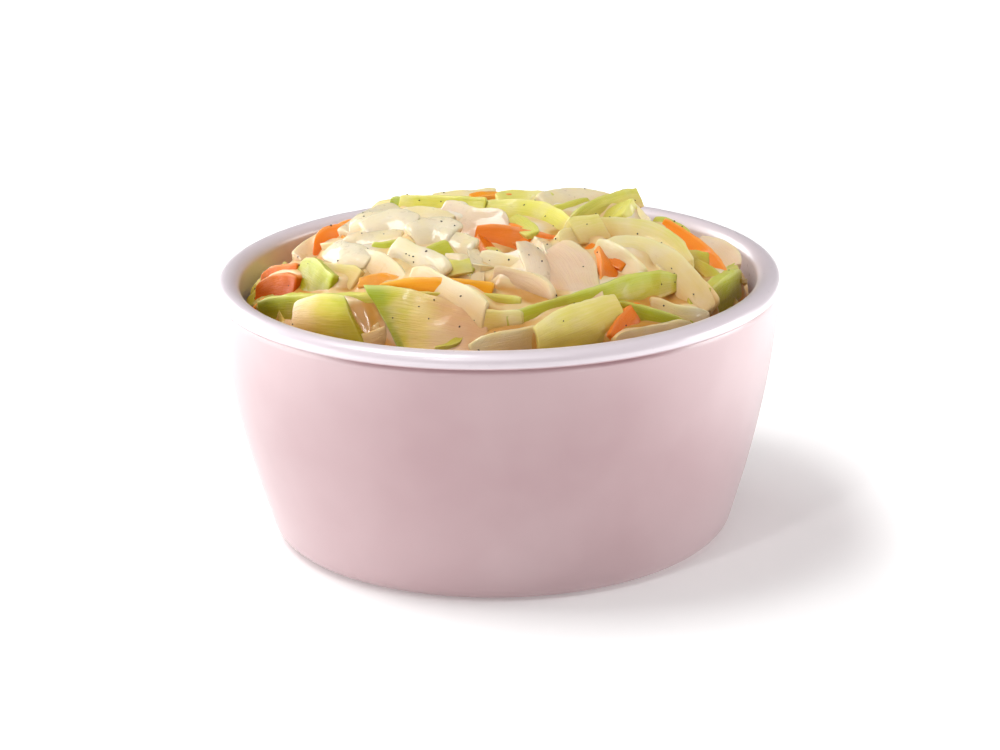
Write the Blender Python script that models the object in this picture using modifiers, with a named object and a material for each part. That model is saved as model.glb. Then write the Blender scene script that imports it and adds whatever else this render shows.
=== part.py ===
"""Coleslaw heaped in a small round pot.

Two solids: the pot, turned from one profile with a rounded lip and a ring foot, and the heap of
dressed cabbage and carrot that fills it and stands above its lip. Metres, +Z up. The origin is the
centre of the foot, on the surface that the pot stands on, and -Y is the front.
"""

import math
import random

import bpy
from mathutils import Vector
from mathutils.geometry import delaunay_2d_cdt

MM = 0.001
SEGMENTS = 60

# The pot.
LIP_RADIUS = 51.0 * MM  # to the outside of the lip, the widest point
POT_HEIGHT = 48.2 * MM
LIP_HALF_WIDTH = 2.2 * MM
LIP_HALF_HEIGHT = 1.9 * MM
SEAM_HEIGHT = 45.6 * MM  # where the lip stops and the plain wall starts
SEAM_STEP = 0.42 * MM  # how far the lip stands out past the wall there
WALL_DRAWN_IN = 9.3 * MM  # how much smaller the wall's radius is at the foot than at the seam
WALL_CURVE = 1.58  # power of the wall's curve: 1 is a straight cone
WALL_THICKNESS = 3.6 * MM
FLOOR_HEIGHT = 4.6 * MM
HEEL_ROUNDING = 4.2 * MM
FLOOR_ROUNDING = 9.0 * MM
FOOT_RING_WIDTH = 3.4 * MM
FOOT_RECESS = 0.9 * MM

# The heap.
CLEARANCE = 0.3 * MM  # between the heap and the pot's inside
HEAP_RADIUS = 46.2 * MM
HEAP_EDGE = 41.0 * MM  # the body's height at the pot's wall, under the shreds
HEAP_RISE = 11.0 * MM  # how much higher its middle is
HEAP_SHAPE = 3.5  # power of its roundness: 2 is a dome, more is flatter on top
HEAP_SEGMENTS = 90
HEAP_GRID = 1.95 * MM  # the distance between neighbouring points of its upper face
SHRED_THICKNESS = 2.6 * MM
SHRED_SINK = 0.3  # share of its thickness by which each shred presses into those below it
SHRED_SAG = 0.12 * MM  # how far a shred bends down between two points that hold it up
SHRED_ROUNDING = 3.0  # power of its rounded section: 2 is an ellipse, more is squarer
SHRED_POINTS = 9
LOOSE_SHREDS = 60
GOLDEN_ANGLE = math.pi * (3 - math.sqrt(5))

# The large pieces on top, in millimetres and degrees: the middle (x, y), the way the piece points,
# its length and width, how far it leans over on its long edge, how far its far end is lifted.
TOP_SHREDS = (
    (-30, -21, -38, 38, 5, 20, 0),  # long green strip along the left
    (-27, -31, -38, 18, 9, 50, 0),  # broad pale slab at the left front
    (-12, -38, -26, 26, 10, 45, 0),  # wide leaf at the front
    (-21, -33, -60, 19, 4, 30, 0),  # its green edge
    (-8, -34, -38, 19, 4, 0, 1),  # pale finger across it
    (-13, -29, -18, 17, 4, 25, 0),  # carrot stick behind the finger
    (-33, -15, -60, 14, 6, 40, 0),  # bright green corner
    (-22, -20, -55, 20, 7, 25, 0),  # dressed strip above it
    (-29, 1, 35, 10, 6, 30, 2),  # carrot wedge, left
    (-39, -8, -45, 12, 5, 20, 0),  # carrot against the wall, left
    (-21, -4, 10, 16, 9, 15, 0),  # dressed lump, top left
    (-9, 9, -25, 24, 6, 20, 2),  # pale strip on the skyline
    (-4, -7, -40, 14, 9, 10, 1),  # white sheet
    (6, 3, -45, 32, 6, 20, 1),  # long pale green strip over the top
    (8, -9, -25, 19, 4, 20, 0),  # carrot strip beside it
    (-14, -22, -42, 13, 6, 20, 0),  # rounded pale piece
    (14, 14, 25, 16, 6, 20, 1),  # pale strip, back
    (21, 12, 58, 20, 4, 30, 7.5),  # green strip that stands up at the back
    (23, 6, 80, 9, 5, 45, 3),  # square pale chunk in front of it
    (28, 6, -60, 16, 3, 40, 3),  # thin white strip
    (35, -3, -62, 24, 4, 25, 0),  # long carrot strip along the right
    (24, -9, -20, 20, 7, 20, 0),  # broad curved strip, right
    (29, -19, -35, 20, 8, 30, 0),  # long pale strip, right
    (34, -17, -38, 12, 8, 30, 0),  # flat pale block, right
    (39, -13, 70, 17, 5, 40, 0),  # green strip against the wall, right
    (12, -24, -50, 14, 10, 35, 1),  # folded leaf, middle
    (4, -31, -40, 13, 8, 40, 0),  # leaf below it
    (17, -31, 30, 34, 4, 30, 1),  # long green strip, front right
    (13, -38, 26, 16, 5, 20, 1),  # pale chunk at the front
    (2, -40, 17, 14, 6, 20, 0),  # pale strip at the front
    (25, -34, 33, 16, 5, 30, 0),  # pale strip, right front
)


def wall_radius(z):
    """The outer radius of the plain wall at height z."""
    share_down = max(0.0, (SEAM_HEIGHT - z) / SEAM_HEIGHT)
    return LIP_RADIUS - SEAM_STEP - WALL_DRAWN_IN * share_down**WALL_CURVE


def rounded_corner(before, corner, after, radius, steps):
    """The points of an arc that replaces the corner between two straight lines in (radius, height)."""
    corner, before, after = Vector(corner), Vector(before), Vector(after)
    to_before = (before - corner).normalized()
    to_after = (after - corner).normalized()
    half = to_before.angle(to_after) / 2
    centre = corner + (to_before + to_after).normalized() * (radius / math.sin(half))
    start = corner + to_before * (radius / math.tan(half)) - centre
    sweep = start.angle_signed(corner + to_after * (radius / math.tan(half)) - centre)
    points = []
    for step in range(steps + 1):
        angle = -sweep * step / steps
        turned = Vector(
            (
                start.x * math.cos(angle) - start.y * math.sin(angle),
                start.x * math.sin(angle) + start.y * math.cos(angle),
            )
        )
        points.append(tuple(centre + turned))
    return points


def inside_profile(offset=0.0):
    """The pot's inside from the middle of its floor up to the lip, drawn in by offset."""
    floor = FLOOR_HEIGHT + offset
    heights = [14 * MM, 26 * MM, 40 * MM]
    wall = [(wall_radius(z) - WALL_THICKNESS - offset, z) for z in heights]
    lowest = (2 * wall[0][0] - wall[1][0], floor)
    corner = rounded_corner((0, floor), lowest, wall[0], FLOOR_ROUNDING, 4)
    return [(0.0, floor), *corner, *wall]


def lip_profile():
    """The rounded lip, from the inside over the top to its lower outer edge."""
    middle = (LIP_RADIUS - LIP_HALF_WIDTH, POT_HEIGHT - LIP_HALF_HEIGHT)
    start, end, steps = 190, -20, 9
    points = []
    for step in range(steps + 1):
        angle = math.radians(start + (end - start) * step / steps)
        points.append(
            (
                middle[0] + LIP_HALF_WIDTH * math.cos(angle),
                middle[1] + LIP_HALF_HEIGHT * math.sin(angle),
            )
        )
    return points


def outside_profile():
    """The plain wall from the seam down, round the heel and over the ring foot to the axis."""
    heights = [SEAM_HEIGHT * share for share in (1, 0.85, 0.67, 0.47, 0.28)]
    wall = [(wall_radius(z), z) for z in heights]
    foot_edge = (wall_radius(0.0), 0.0)
    heel = rounded_corner(wall[-1], foot_edge, (0.0, 0.0), HEEL_ROUNDING, 4)
    ring_inside = heel[-1][0] - FOOT_RING_WIDTH
    recess = [(ring_inside, 0.0), (ring_inside - FOOT_RECESS, FOOT_RECESS)]
    return [*wall, *heel, *recess, (0.0, FOOT_RECESS)]


def material(name, colour, roughness):
    """A plain Principled finish."""
    made = bpy.data.materials.new(name)
    made.use_nodes = True
    shader = made.node_tree.nodes["Principled BSDF"]
    shader.inputs["Base Color"].default_value = (*colour, 1.0)
    shader.inputs["Roughness"].default_value = roughness
    shader.inputs["Metallic"].default_value = 0.0
    return made


def turned(name, profile, home):
    """A solid turned about Z from a profile that runs down its outer side, as a Screw modifier."""
    mesh = bpy.data.meshes.new(name)
    edges = [(i, i + 1) for i in range(len(profile) - 1)]
    mesh.from_pydata([(r, 0.0, z) for r, z in profile], edges, [])
    made = bpy.data.objects.new(name, mesh)
    home.objects.link(made)
    screw = made.modifiers.new("turn", "SCREW")
    screw.steps = SEGMENTS
    screw.render_steps = SEGMENTS
    screw.use_merge_vertices = True
    screw.merge_threshold = 0.00005
    screw.use_smooth_shade = True
    return made


def body_height(place):
    """The height of the heap's smooth body under its shreds."""
    share = min(1.0, place.length / HEAP_RADIUS)
    return HEAP_EDGE + HEAP_RISE * (1 - share**HEAP_SHAPE)


class Shred:
    """One flat strip that lies over what is below it and has a rounded section."""

    def __init__(self, below, middle, heading, length, width, lean, lift):
        self.middle = middle
        self.along = Vector((math.cos(heading), math.sin(heading)))
        self.across = Vector((-self.along.y, self.along.x))
        self.length = length
        self.width = width
        self.slope = math.tan(lean)
        shares = [i / (SHRED_POINTS - 1) for i in range(SHRED_POINTS)]
        ground = [below(middle + self.along * length * (share - 0.5)) for share in shares]
        rest = list(ground)
        for _ in range(40):
            for i in range(1, SHRED_POINTS - 1):
                rest[i] = max(ground[i], (rest[i - 1] + rest[i + 1]) / 2 - SHRED_SAG)
        sink = SHRED_SINK * SHRED_THICKNESS
        self.rest = [z - sink + lift * share**2 for z, share in zip(rest, shares)]

    def top(self, place):
        """The height of its upper face at a place, or None beside it."""
        offset = place - self.middle
        u = 2 * offset.dot(self.along) / self.length
        v = 2 * offset.dot(self.across) / self.width
        if abs(u) >= 1 or abs(v) >= 1:
            return None
        step = (u + 1) / 2 * (SHRED_POINTS - 1)
        i = min(int(step), SHRED_POINTS - 2)
        base = self.rest[i] + (self.rest[i + 1] - self.rest[i]) * (step - i)
        rounding = (1 - abs(v) ** SHRED_ROUNDING) * (1 - abs(u) ** (4 * SHRED_ROUNDING))
        leaning = self.slope * v * self.width / 2
        return base + leaning + SHRED_THICKNESS * math.sqrt(rounding)


class Heap:
    """The heap's upper face: a smooth body with shreds laid on it one after another."""

    def __init__(self):
        self.shreds = []

    def height(self, place):
        tops = (shred.top(place) for shred in self.shreds)
        return max([body_height(place), *(top for top in tops if top is not None)])

    def lay(self, x, y, heading, length, width, lean, lift):
        angles = math.radians(heading), math.radians(lean)
        sizes = length * MM, width * MM
        middle = Vector((x, y)) * MM
        self.shreds.append(Shred(self.height, middle, angles[0], *sizes, angles[1], lift * MM))


def laid_heap():
    """Loose shreds spread evenly over the body, along the wall near it, then the named ones."""
    heap = Heap()
    chance = random.Random(7)
    for number in range(LOOSE_SHREDS):
        share = math.sqrt((number + 0.5) / LOOSE_SHREDS)
        around = number * GOLDEN_ANGLE
        place = Vector((math.cos(around), math.sin(around))) * share * (HEAP_RADIUS / MM - 3)
        swing = 25 if share > 0.7 else 90
        heading = math.degrees(around) + 90 + chance.uniform(-swing, swing)
        sizes = chance.uniform(10, 20), chance.uniform(4, 7)
        heap.lay(*place, heading, *sizes, chance.uniform(-30, 30), 0)
    for shred in TOP_SHREDS:
        heap.lay(*shred)
    return heap


def make_pot(home):
    """The pot: one turned solid."""
    profile = [*inside_profile(), *lip_profile(), *outside_profile()]
    pot = turned("pot", profile, home)
    pot.data.materials.append(material("pale_pink_glaze", (0.60, 0.42, 0.42), 0.35))
    return pot


def even_points():
    """Points in (x, y): the heap's edge first, then a triangular grid that fills it."""
    turns = [math.tau * i / HEAP_SEGMENTS for i in range(HEAP_SEGMENTS)]
    points = [Vector((math.cos(turn), math.sin(turn))) * HEAP_RADIUS for turn in turns]
    row_gap = HEAP_GRID * math.sqrt(3) / 2
    rows = int(HEAP_RADIUS / row_gap)
    for row in range(-rows, rows + 1):
        shift = HEAP_GRID / 2 if row % 2 else 0.0
        columns = int(HEAP_RADIUS / HEAP_GRID) + 1
        for column in range(-columns, columns + 1):
            place = Vector((column * HEAP_GRID + shift, row * row_gap))
            if place.length < HEAP_RADIUS - HEAP_GRID / 2:
                points.append(place)
    return points


def make_coleslaw(home):
    """The heap: its uneven upper face, then the pot's inside down to the middle of the floor."""
    heap = laid_heap()
    spread = delaunay_2d_cdt(even_points(), [], [], 0, 1e-7)
    points = [(*place, heap.height(place)) for place in spread[0]]
    faces = list(spread[2])
    above = range(HEAP_SEGMENTS)
    floor, *wall = inside_profile(CLEARANCE)
    for radius, height in reversed(wall):
        below = range(len(points), len(points) + HEAP_SEGMENTS)
        points.extend(
            (radius * math.cos(turn), radius * math.sin(turn), height)
            for turn in (math.tau * i / HEAP_SEGMENTS for i in range(HEAP_SEGMENTS))
        )
        for i in range(HEAP_SEGMENTS):
            after = (i + 1) % HEAP_SEGMENTS
            faces.append((above[i], below[i], below[after], above[after]))
        above = below
    points.append((0.0, 0.0, floor[1]))
    for i in range(HEAP_SEGMENTS):
        faces.append((len(points) - 1, above[(i + 1) % HEAP_SEGMENTS], above[i]))
    mesh = bpy.data.meshes.new("coleslaw")
    mesh.from_pydata(points, [], faces)
    mesh.shade_smooth()
    coleslaw = bpy.data.objects.new("coleslaw", mesh)
    home.objects.link(coleslaw)
    coleslaw.data.materials.append(material("dressed_salad", (0.80, 0.68, 0.38), 0.3))


def main():
    for thing in list(bpy.data.objects):
        bpy.data.objects.remove(thing)
    home = bpy.data.collections.new("coleslaw in its pot")
    bpy.context.scene.collection.children.link(home)
    make_pot(home)
    make_coleslaw(home)


main()
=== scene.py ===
# %% [markdown]
# # Coleslaw in a small round pot
#
# This lesson dresses a plain model of a side pot of coleslaw until it looks good enough to eat.
# The plain model, which we call the frame, settles every size. It has two solids: the pot, and one
# lumpy solid that stands for the whole heap. We keep their places and replace both surfaces: the
# pot with a finely turned and glazed one, the heap with hundreds of single shreds.

import math

import bpy
import numpy as np
from mathutils import Matrix, Vector


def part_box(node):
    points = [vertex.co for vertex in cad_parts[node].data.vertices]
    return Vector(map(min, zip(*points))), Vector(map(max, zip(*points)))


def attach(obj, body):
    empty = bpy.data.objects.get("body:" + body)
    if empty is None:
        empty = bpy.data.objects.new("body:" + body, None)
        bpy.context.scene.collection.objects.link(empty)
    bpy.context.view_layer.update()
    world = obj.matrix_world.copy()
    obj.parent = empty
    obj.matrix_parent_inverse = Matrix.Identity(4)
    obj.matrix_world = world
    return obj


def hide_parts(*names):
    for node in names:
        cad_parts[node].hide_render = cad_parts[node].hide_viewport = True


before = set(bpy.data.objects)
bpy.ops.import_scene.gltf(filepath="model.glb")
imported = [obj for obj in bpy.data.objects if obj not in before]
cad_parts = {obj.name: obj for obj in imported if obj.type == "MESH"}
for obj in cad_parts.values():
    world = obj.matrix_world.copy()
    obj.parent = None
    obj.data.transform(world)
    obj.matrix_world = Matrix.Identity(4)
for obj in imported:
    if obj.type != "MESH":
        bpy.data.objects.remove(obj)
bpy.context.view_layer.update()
MM = 0.001
pot_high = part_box("pot")[1]
heap_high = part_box("coleslaw")[1]
print("pot", round(pot_high.x / MM, 1), "mm radius,", round(pot_high.z / MM, 1), "mm high")

# %% [markdown]
# ## Camera, floor and light
#
# Small food is usually taken with a long lens from a little above the rim, so that the far side of
# the heap still shows. A long lens keeps the pot's sides from leaning. The table is a pale sheet
# that the light almost burns out, and only a soft shadow is left on it. The main light stands high
# on the left. Low, wide ones on both sides draw the soft bright bands on the pot, one behind lights
# the lip, and a small one in front gives the wet shreds their sparkle.

# %% Camera
LENS = 119.1
CAMERA_PLACE = (0.0, -0.5728, 0.2171)
LOOKS_DOWN = math.radians(18.28)
ROLL = math.radians(-1.06)


def make_camera():
    data = bpy.data.cameras.new("camera")
    data.lens = LENS
    data.sensor_width = 36.0
    data.clip_start = 0.01
    camera = bpy.data.objects.new("camera", data)
    bpy.context.scene.collection.objects.link(camera)
    tilt = Matrix.Rotation(math.pi / 2 - LOOKS_DOWN, 4, "X")
    camera.matrix_world = Matrix.Translation(CAMERA_PLACE) @ tilt @ Matrix.Rotation(ROLL, 4, "Z")
    bpy.context.scene.camera = camera


make_camera()

# %% Lights and world


def add_light(name, place, aim, size, watts):
    data = bpy.data.lights.new(name, "AREA")
    data.shape = "RECTANGLE"
    data.size, data.size_y = size
    data.energy = watts
    light = bpy.data.objects.new(name, data)
    bpy.context.scene.collection.objects.link(light)
    light.location = place
    light.rotation_euler = (Vector(aim) - Vector(place)).to_track_quat("-Z", "Y").to_euler()


TOP_OF_HEAP = (0.0, 0.0, heap_high.z)
BODY_OF_POT = (0.0, 0.0, 0.6 * pot_high.z)
add_light("high_left", (-0.24, -0.02, 0.68), TOP_OF_HEAP, (0.26, 0.26), 2.5)
add_light("high_front", (0.04, -0.44, 0.80), TOP_OF_HEAP, (0.40, 0.30), 0.8)
add_light("small_front_left", (-0.20, -0.42, 0.52), TOP_OF_HEAP, (0.05, 0.05), 0.5)
add_light("low_left", (-0.72, 0.04, 0.14), BODY_OF_POT, (0.70, 0.24), 2.1)
add_light("low_right", (0.76, 0.06, 0.16), BODY_OF_POT, (0.50, 0.26), 2.2)
add_light("rim_behind_left", (-0.50, 0.50, 0.26), BODY_OF_POT, (0.40, 0.40), 2.5)
add_light("ceiling", (0.0, 0.1, 1.3), TOP_OF_HEAP, (1.3, 1.3), 2.6)

world = bpy.data.worlds.new("studio")
world.use_nodes = True
world.node_tree.nodes["Background"].inputs["Color"].default_value = (1.0, 1.0, 1.0, 1.0)
world.node_tree.nodes["Background"].inputs["Strength"].default_value = 0.09
bpy.context.scene.world = world
bpy.context.scene.view_settings.view_transform = "Standard"

# %% [markdown]
# ## Nodes written as sentences
#
# A material or a Geometry Nodes tree is a graph, and placing its nodes one by one hides what it
# says. Two small classes let us write it as Python: `Tree.add` makes any node from its type, its
# settings and its inputs, and `Signal` wraps one socket so that `1 - mask * 0.5` adds the Math
# nodes by itself.

# %% Signal and Tree


def linear(code):
    """A colour such as #E8D9B0, as the eye sees it, turned to the linear values shaders use."""
    shares = [int(code[i : i + 2], 16) / 255 for i in (1, 3, 5)]
    turned = [c / 12.92 if c <= 0.04045 else ((c + 0.055) / 1.055) ** 2.4 for c in shares]
    return (*turned, 1.0)


class Signal:
    """One output socket that can be used in Python sums."""

    def __init__(self, tree, socket):
        self.tree = tree
        self.socket = socket

    def maths(self, operation, *values, clamped=False):
        settings = {"operation": operation, "use_clamp": clamped}
        return self.tree.add("ShaderNodeMath", settings, dict(enumerate(values)))

    def __add__(self, other):
        return self.maths("ADD", self, other)

    def __sub__(self, other):
        return self.maths("SUBTRACT", self, other)

    def __rsub__(self, other):
        return self.maths("SUBTRACT", other, self)

    def __mul__(self, other):
        return self.maths("MULTIPLY", self, other)

    def __truediv__(self, other):
        return self.maths("DIVIDE", self, other)

    __radd__ = __add__
    __rmul__ = __mul__

    def clamped(self):
        return self.maths("ADD", self, 0.0, clamped=True)

    def step(self, low, high):
        """0 below low, 1 above high and smooth between."""
        settings = {"interpolation_type": "SMOOTHSTEP"}
        ends = {"Value": self, "From Min": low, "From Max": high}
        return self.tree.add("ShaderNodeMapRange", settings, ends)


class Tree:
    """A node tree that is built by calls."""

    def __init__(self, nodes):
        self.nodes = nodes

    def put(self, socket, value):
        if isinstance(value, Signal):
            self.nodes.links.new(value.socket, socket)
        else:
            socket.default_value = value

    def node(self, kind, settings=None, values=None):
        made = self.nodes.nodes.new(kind)
        for name, value in (settings or {}).items():
            setattr(made, name, value)
        for key, value in (values or {}).items():
            self.put(made.inputs[key], value)
        return made

    def add(self, kind, settings=None, values=None, out=0):
        return Signal(self, self.node(kind, settings, values).outputs[out])

    def ramp(self, factor, stops):
        made = self.node("ShaderNodeValToRGB", None, {0: factor})
        made.color_ramp.interpolation = "EASE"
        for place, code in stops[2:]:
            made.color_ramp.elements.new(place)
        for element, (place, code) in zip(made.color_ramp.elements, sorted(stops)):
            element.position = place
            element.color = linear(code)
        return Signal(self, made.outputs[0])

    def mix(self, factor, a, b, blend="MIX"):
        made = self.node("ShaderNodeMix", {"data_type": "RGBA", "blend_type": blend})
        colours = [s for s in made.inputs if s.type == "RGBA"]
        self.put(made.inputs[0], factor)
        for socket, value in zip(colours, (a, b)):
            self.put(socket, value)
        return Signal(self, next(s for s in made.outputs if s.type == "RGBA"))

    def noise(self, vector, scale, detail=2.0, roughness=0.5):
        values = {"Vector": vector, "Scale": scale, "Detail": detail, "Roughness": roughness}
        return self.add("ShaderNodeTexNoise", None, values)

    def attribute(self, name):
        return self.add("ShaderNodeAttribute", {"attribute_name": name}, None, "Fac")


def new_material(name):
    """A material, its tree and its Principled shader."""
    made = bpy.data.materials.new(name)
    made.use_nodes = True
    return made, Tree(made.node_tree), made.node_tree.nodes["Principled BSDF"]


def bump(tree, shader, height, strength, distance):
    values = {"Height": height, "Strength": strength, "Distance": distance}
    tree.put(shader.inputs["Normal"], tree.add("ShaderNodeBump", None, values))


# %% [markdown]
# A Geometry Nodes tree gets named inputs for its sizes. `run_tree` puts it on an object, sets the
# inputs by the identifier of each socket, takes the result as a plain mesh and clears the modifier.

# %% Geometry tree helpers


class ShapeTree(Tree):
    """A Geometry Nodes tree with named inputs."""

    def __init__(self, name, sizes):
        group = bpy.data.node_groups.new(name, "GeometryNodeTree")
        super().__init__(group)
        face = group.interface
        face.new_socket("Geometry", in_out="INPUT", socket_type="NodeSocketGeometry")
        face.new_socket("Geometry", in_out="OUTPUT", socket_type="NodeSocketGeometry")
        for label, kind in sizes:
            face.new_socket(label, in_out="INPUT", socket_type=kind)
        self.entry = self.nodes.nodes.new("NodeGroupInput")
        self.exit = self.nodes.nodes.new("NodeGroupOutput")

    def given(self, label):
        return Signal(self, self.entry.outputs[label])

    def named(self, attribute):
        values = {"Name": attribute}
        return self.add("GeometryNodeInputNamedAttribute", {"data_type": "FLOAT"}, values)

    def finish(self, geometry, material):
        whole = self.add("GeometryNodeRealizeInstances", None, {"Geometry": geometry})
        painted = {"Geometry": whole, "Material": material}
        self.put(self.exit.inputs[0], self.add("GeometryNodeSetMaterial", None, painted))


def run_tree(source, tree, sizes, name):
    """The tree's result on the source object, as a new plain mesh object."""
    modifier = source.modifiers.new("shape", "NODES")
    modifier.node_group = tree.nodes
    for item in tree.nodes.interface.items_tree:
        if item.in_out == "INPUT" and item.name in sizes:
            modifier[item.identifier] = sizes[item.name]
    bpy.context.view_layer.update()
    graph = bpy.context.evaluated_depsgraph_get()
    mesh = bpy.data.meshes.new_from_object(source.evaluated_get(graph))
    mesh.name = name
    source.modifiers.remove(modifier)
    bpy.data.objects.remove(source)
    made = bpy.data.objects.new(name, mesh)
    bpy.context.scene.collection.objects.link(made)
    print(name, "has", sum(len(p.vertices) - 2 for p in mesh.polygons), "triangles")
    return made


def mesh_object(name, points, faces, values=None):
    """A mesh from points in millimetres, with named values on its points."""
    mesh = bpy.data.meshes.new(name)
    mesh.from_pydata((np.asarray(points) * MM).tolist(), [], faces)
    for label, numbers in (values or {}).items():
        layer = mesh.attributes.new(label, "FLOAT", "POINT")
        layer.data.foreach_set("value", np.asarray(numbers, np.float32))
    mesh.shade_smooth()
    made = bpy.data.objects.new(name, mesh)
    bpy.context.scene.collection.objects.link(made)
    return made


# %% [markdown]
# ## The table
#
# A sheet of white card. It is far bigger than the view, so no edge of it ever shows. Its glow is painted
# light:
# a little near the pot, more so away from it so that it burns out to white, and more in bands to the left
# and right that light the pot's sides and soften its shadow.

# %% Table
TABLE_HALF = 3000.0
LEFT_GLOW = (70.0, 160.0)
RIGHT_GLOW = (59.5, 120.0)
FAR_GLOW = (105.0, 400.0)
LIP_RADIUS = pot_high.x / MM


def make_table():
    corners = [(-1, -1), (1, -1), (1, 1), (-1, 1)]
    points = [(x * TABLE_HALF, y * TABLE_HALF, -0.05) for x, y in corners]
    table = mesh_object("table", points, [(0, 1, 2, 3)])
    made, tree, shader = new_material("white_card_painted_glow")
    shader.inputs["Base Color"].default_value = (0.93, 0.93, 0.925, 1.0)
    shader.inputs["Roughness"].default_value = 0.8
    shader.inputs["Specular IOR Level"].default_value = 0.1
    shader.inputs["Emission Color"].default_value = (1.0, 1.0, 1.0, 1.0)
    place = tree.add("ShaderNodeTexCoord", None, None, "Object")
    away = tree.add("ShaderNodeVectorMath", {"operation": "LENGTH"}, {0: place}, "Value")
    flat = tree.node("ShaderNodeSeparateXYZ", None, {0: place})
    x = Signal(tree, flat.outputs[0])
    # Painted light: the glow rises in bands on the left and right, where it lights the pot's sides, and far
    # from the pot.
    left = 1 - x.step(-LEFT_GLOW[1] * MM, -LEFT_GLOW[0] * MM)
    right = x.step(RIGHT_GLOW[0] * MM, RIGHT_GLOW[1] * MM)
    distance = away.step(FAR_GLOW[0] * MM, FAR_GLOW[1] * MM)
    glow = distance * 0.12 + left * 0.24 + right * 0.26 + 0.05
    dark, white = (0.0, 0.0, 0.0, 1.0), (1.0, 1.0, 1.0, 1.0)
    tree.put(shader.inputs["Emission Color"], tree.mix(glow, dark, white))
    shader.inputs["Emission Strength"].default_value = 4.0
    table.data.materials.append(made)


make_table()

# %% [markdown]
# ## The pot
#
# A pot like this is turned or pressed, so every level cut through it is a circle and one profile
# says it all. We work the profile out from the frame's own sizes: a wall that draws in towards the
# foot ever faster, a rounded heel, a low foot ring and a rolled lip that stands a hair proud of
# the wall, which leaves a fine seam. Geometry Nodes then sweeps the profile round a circle.

# %% Pot sizes, in millimetres
POT_HEIGHT = pot_high.z / MM
LIP_HALF_WIDTH = 2.2
LIP_HALF_HEIGHT = 1.9
SEAM_HEIGHT = POT_HEIGHT - 2.6
SEAM_STEP = 0.42
WALL_DRAWN_IN = 9.3
WALL_CURVE = 1.58
WALL_THICKNESS = 3.6
FLOOR_HEIGHT = 4.6
HEEL_ROUNDING = 4.2
FLOOR_ROUNDING = 9.0
FOOT_RING_WIDTH = 3.4
FOOT_RECESS = 0.9


def wall_radius(z):
    share_down = max(0.0, (SEAM_HEIGHT - z) / SEAM_HEIGHT)
    return LIP_RADIUS - SEAM_STEP - WALL_DRAWN_IN * share_down**WALL_CURVE


def rounded(before, corner, after, radius, steps):
    """The arc that replaces a corner, in (radius, height)."""
    before, corner, after = Vector(before), Vector(corner), Vector(after)
    towards = [(before - corner).normalized(), (after - corner).normalized()]
    half = towards[0].angle(towards[1]) / 2
    centre = corner + (towards[0] + towards[1]).normalized() * (radius / math.sin(half))
    reach = radius / math.tan(half)
    start, end = (corner + towards[0] * reach - centre, corner + towards[1] * reach - centre)
    sweep = start.angle_signed(end)
    points = []
    for i in range(steps + 1):
        turned = start.copy()
        turned.rotate(Matrix.Rotation(-sweep * i / steps, 2))
        points.append(tuple(centre + turned))
    return points


def pot_profile():
    """From the middle of the inner floor, over the lip, down and round to the foot's middle."""
    inside = [(wall_radius(z) - WALL_THICKNESS, z) for z in np.linspace(14, 41, 12)]
    lowest = (2 * inside[0][0] - inside[1][0], FLOOR_HEIGHT)
    floor = rounded((0, FLOOR_HEIGHT), lowest, inside[0], FLOOR_ROUNDING, 8)
    lip = []
    for angle in np.radians(np.linspace(190, -24, 30)):
        out = LIP_RADIUS - LIP_HALF_WIDTH + LIP_HALF_WIDTH * math.cos(angle)
        lip.append((out, POT_HEIGHT - LIP_HALF_HEIGHT + LIP_HALF_HEIGHT * math.sin(angle)))
    top = SEAM_HEIGHT - 0.25
    outside = [(wall_radius(z), z) for z in top * np.linspace(1, 0.26, 30)]
    outside.insert(0, (wall_radius(SEAM_HEIGHT) - 0.25, SEAM_HEIGHT - 0.02))
    heel = rounded(outside[-1], (wall_radius(0), 0), (0, 0), HEEL_ROUNDING, 12)
    ring = heel[-1][0] - FOOT_RING_WIDTH
    foot = [(ring, 0.0), (ring - FOOT_RECESS, FOOT_RECESS), (0.0, FOOT_RECESS)]
    return [(0.0, FLOOR_HEIGHT), *floor, *inside, *lip, *outside, *heel, *foot]


# %% [markdown]
# The glaze is a satin, dusty pink on the wall. Towards the foot it is painted paler, as painted bounce
# light from the table.
# It breaks to a glossier lilac white where it runs thin over the lip and down the inside. We read the
# height of each point to know where we are.

# %% Glaze
WALL_PINK = "#AE7C83"
WALL_PINK_PALE = "#CFACB0"
LIP_WHITE = "#E6D9E0"


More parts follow.
